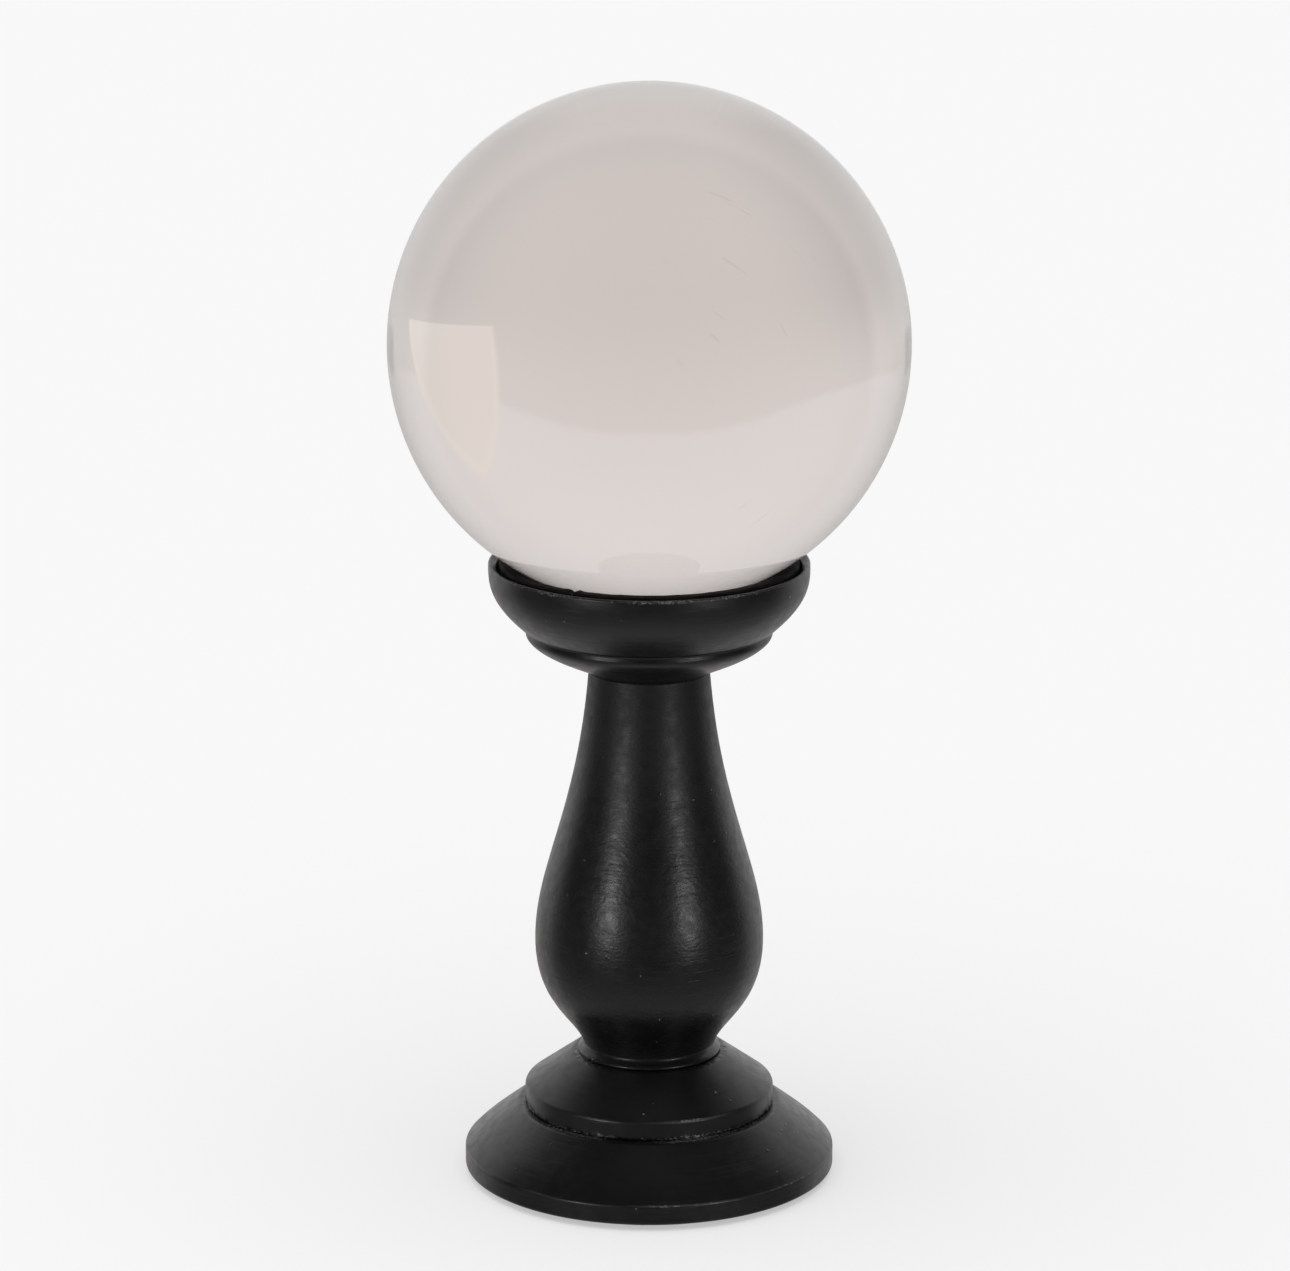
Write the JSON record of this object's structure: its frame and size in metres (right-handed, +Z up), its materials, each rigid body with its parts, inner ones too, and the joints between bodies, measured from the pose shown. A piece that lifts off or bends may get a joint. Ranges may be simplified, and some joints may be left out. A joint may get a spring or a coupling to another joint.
{
  "type": "crystal ball on a turned stand",
  "caption": "Solid clear glass ball resting loose in the padded cup of a turned pillar stand with a stepped round base, painted satin black.",
  "frame": {"origin": "centre of the underside of the foot pad, on the surface that the stand stands on", "axes": "+Z up along the axis of the pillar and the ball; the part is round about +Z, -Y is the front"},
  "size_m": [0.11, 0.11, 0.2379],
  "materials": {
    "clear_glass": "clear solid glass, polished, with a few fine scratches",
    "black_paint": "turned hardwood painted satin black, fine turning ridges, worn arrises",
    "black_flock": "black flocked cushion ring, matt",
    "zinc_steel": "zinc plated steel, satin",
    "beech": "bare beech, fluted",
    "green_felt": "dark green wool felt, matt"
  },
  "bodies": {
    "stand": {"ball_cup": "black_paint", "cup_screw": "zinc_steel", "pillar": "black_paint", "plinth_disc": "black_paint", "locating_dowel_left": "beech", "locating_dowel_right": "beech", "foot_disc": "black_paint", "base_washer": "zinc_steel", "base_screw": "zinc_steel", "foot_pad": "green_felt"},
    "seat": {"seat_ring": "black_flock"},
    "ball": {"crystal_ball": "clear_glass"}
  },
  "joints": [
    {"name": "ball_turn", "type": "hinge", "parent": "stand", "child": "seat", "pos_m": [0, 0, 0.1315], "axis": [0, 0, 1], "continuous": true},
    {"name": "ball_lift", "type": "slide", "parent": "seat", "child": "ball", "axis": [0, 0, 1], "range_m": [0, 0.06]}
  ]
}
